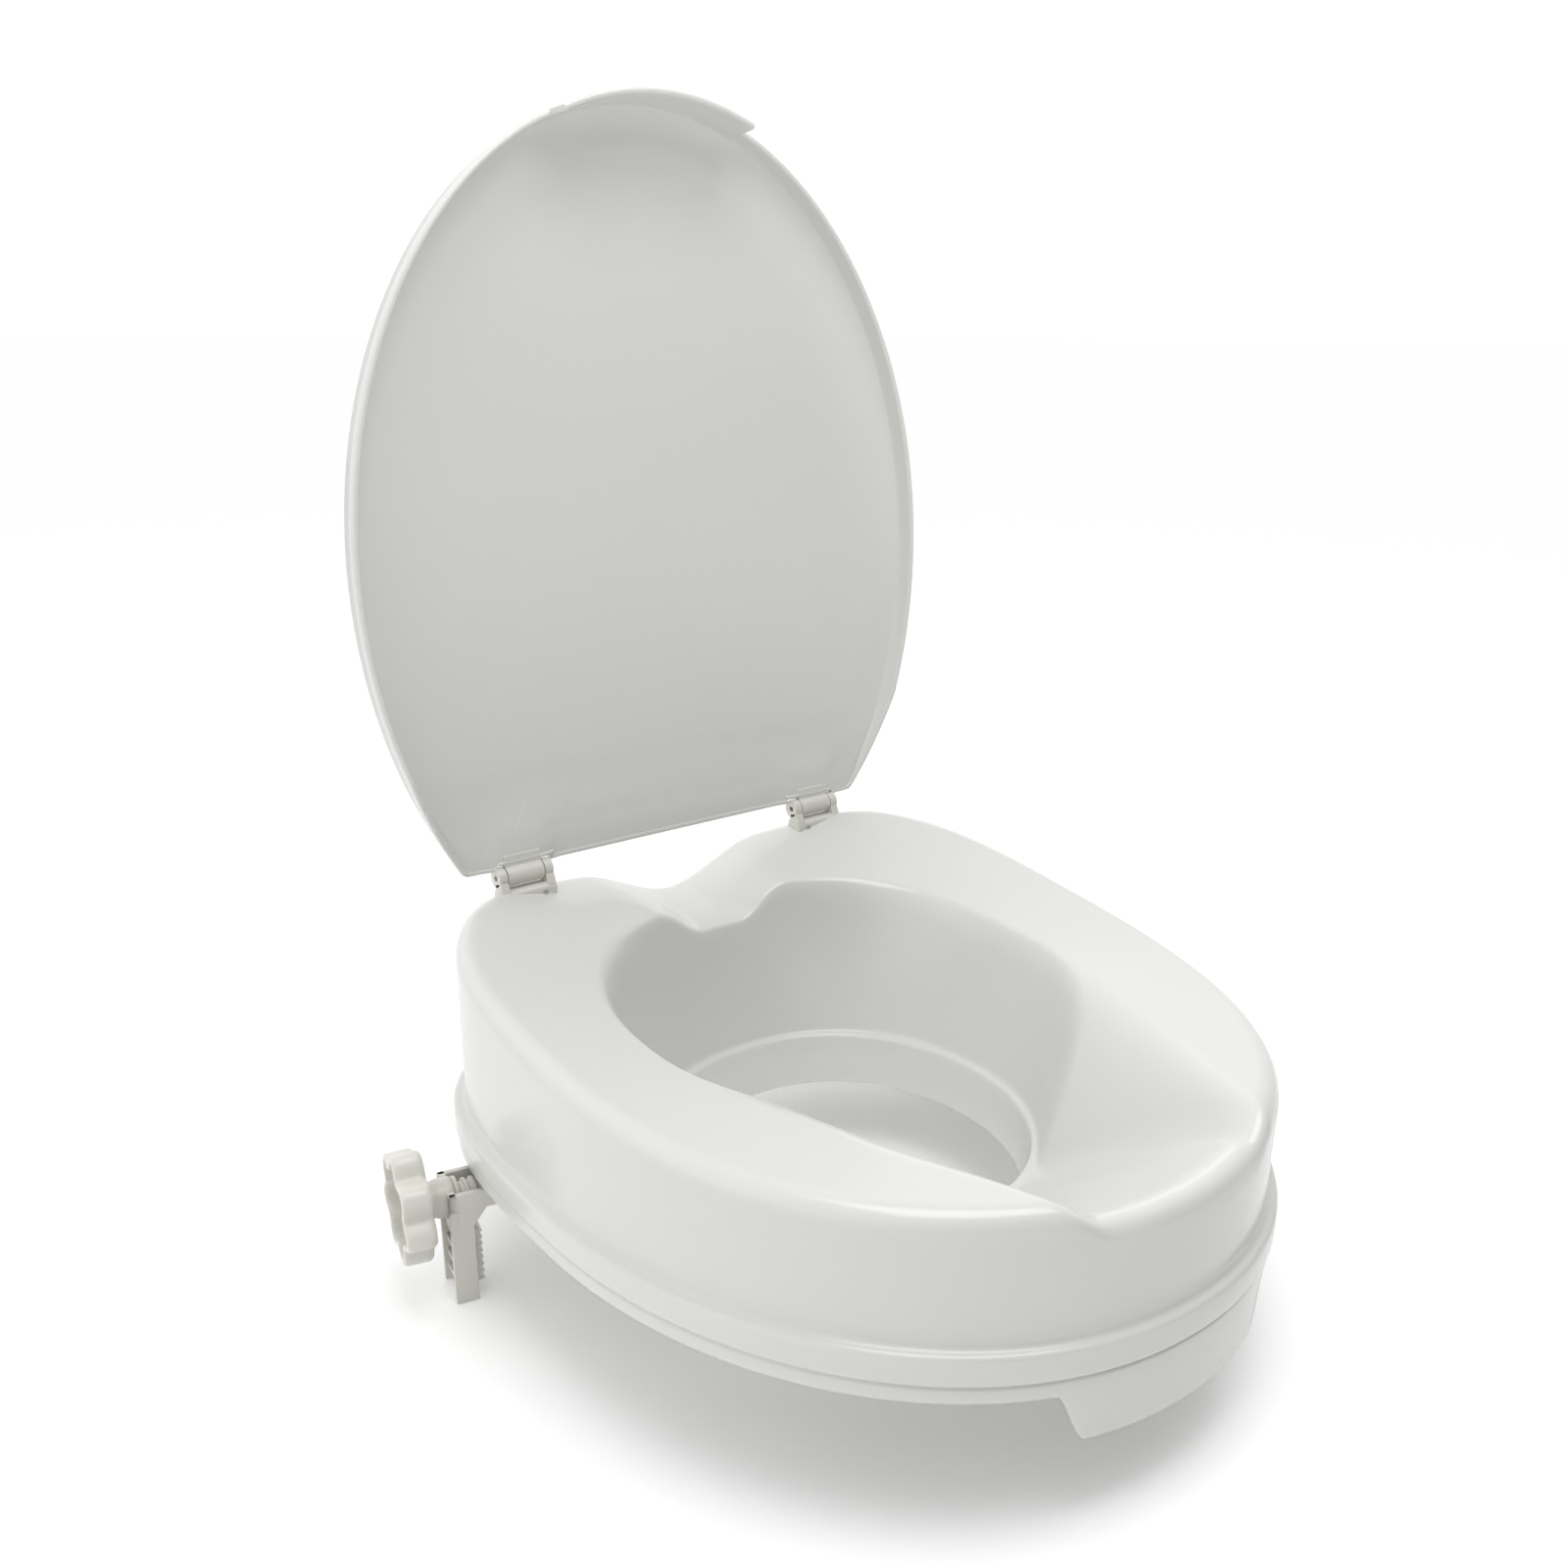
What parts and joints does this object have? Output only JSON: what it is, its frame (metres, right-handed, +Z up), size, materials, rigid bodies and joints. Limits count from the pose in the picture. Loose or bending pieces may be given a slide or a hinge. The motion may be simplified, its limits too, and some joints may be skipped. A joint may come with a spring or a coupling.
{
  "type": "raised toilet seat",
  "caption": "Raised toilet seat with a deep skirt, egg-shaped opening, cleansing dips, hinged lid and screw clamps that grip the bowl from both sides.",
  "frame": {"origin": "centre of the whole part's footprint, at the level of the clamp legs' feet", "axes": "+Z up, front of the seat towards -Y, hinge side towards +Y, +X to the seat's right as seen from the front"},
  "size_m": [0.4464, 0.4152, 0.5769],
  "materials": {
    "seat": "smooth gloss white",
    "lid": "smooth gloss white",
    "hinge": "satin white",
    "pin": "dull dark steel",
    "fixing": "plain steel screws",
    "clamp": "satin white",
    "clamp_screw": "satin white",
    "knob": "satin white"
  },
  "bodies": {
    "seat": {"seat_shell": "seat", "hinge_block_left": "hinge", "hinge_pin_left": "pin", "hinge_screws_left": "fixing", "guide_left": "clamp", "nut_left": "clamp", "guide_screws_left": "fixing", "hinge_block_right": "hinge", "hinge_pin_right": "pin", "hinge_screws_right": "fixing", "guide_right": "clamp", "nut_right": "clamp", "guide_screws_right": "fixing"},
    "lid": {"lid": "lid", "hinge_leaf_left": "hinge", "leaf_screws_left": "fixing", "hinge_leaf_right": "hinge", "leaf_screws_right": "fixing"},
    "clamp_left": {"bracket_left": "clamp", "jaw_teeth_left": "clamp"},
    "knob_left": {"knob_left": "knob", "clamp_screw_left": "clamp_screw"},
    "clamp_right": {"bracket_right": "clamp", "jaw_teeth_right": "clamp"},
    "knob_right": {"knob_right": "knob", "clamp_screw_right": "clamp_screw"}
  },
  "joints": [
    {"name": "lid_hinge", "type": "hinge", "parent": "seat", "child": "lid", "pos_m": [0, 0.17448, 0.1872], "axis": [1, 0, 0], "range_deg": [0, 97]},
    {"name": "clamp_left_slide", "type": "slide", "parent": "seat", "child": "clamp_left", "axis": [0.9781, -0.2079, 0], "range_m": [-0.022, 0.015]},
    {"name": "knob_left_turn", "type": "hinge", "parent": "clamp_left", "child": "knob_left", "pos_m": [-0.1933, 0.10148, 0.056], "axis": [0.9781, -0.2079, 0], "range_deg": [-1975, 1345]},
    {"name": "clamp_right_slide", "type": "slide", "parent": "seat", "child": "clamp_right", "axis": [-0.9781, -0.2079, 0], "range_m": [-0.022, 0.015]},
    {"name": "knob_right_turn", "type": "hinge", "parent": "clamp_right", "child": "knob_right", "pos_m": [0.1933, 0.10148, 0.056], "axis": [-0.9781, -0.2079, 0], "range_deg": [-1975, 1345]}
  ],
  "couplings": [
    {"joint": "clamp_left_slide", "follows": "knob_left_turn", "m_per_rad": 0.00063662},
    {"joint": "clamp_right_slide", "follows": "knob_right_turn", "m_per_rad": 0.00063662}
  ]
}
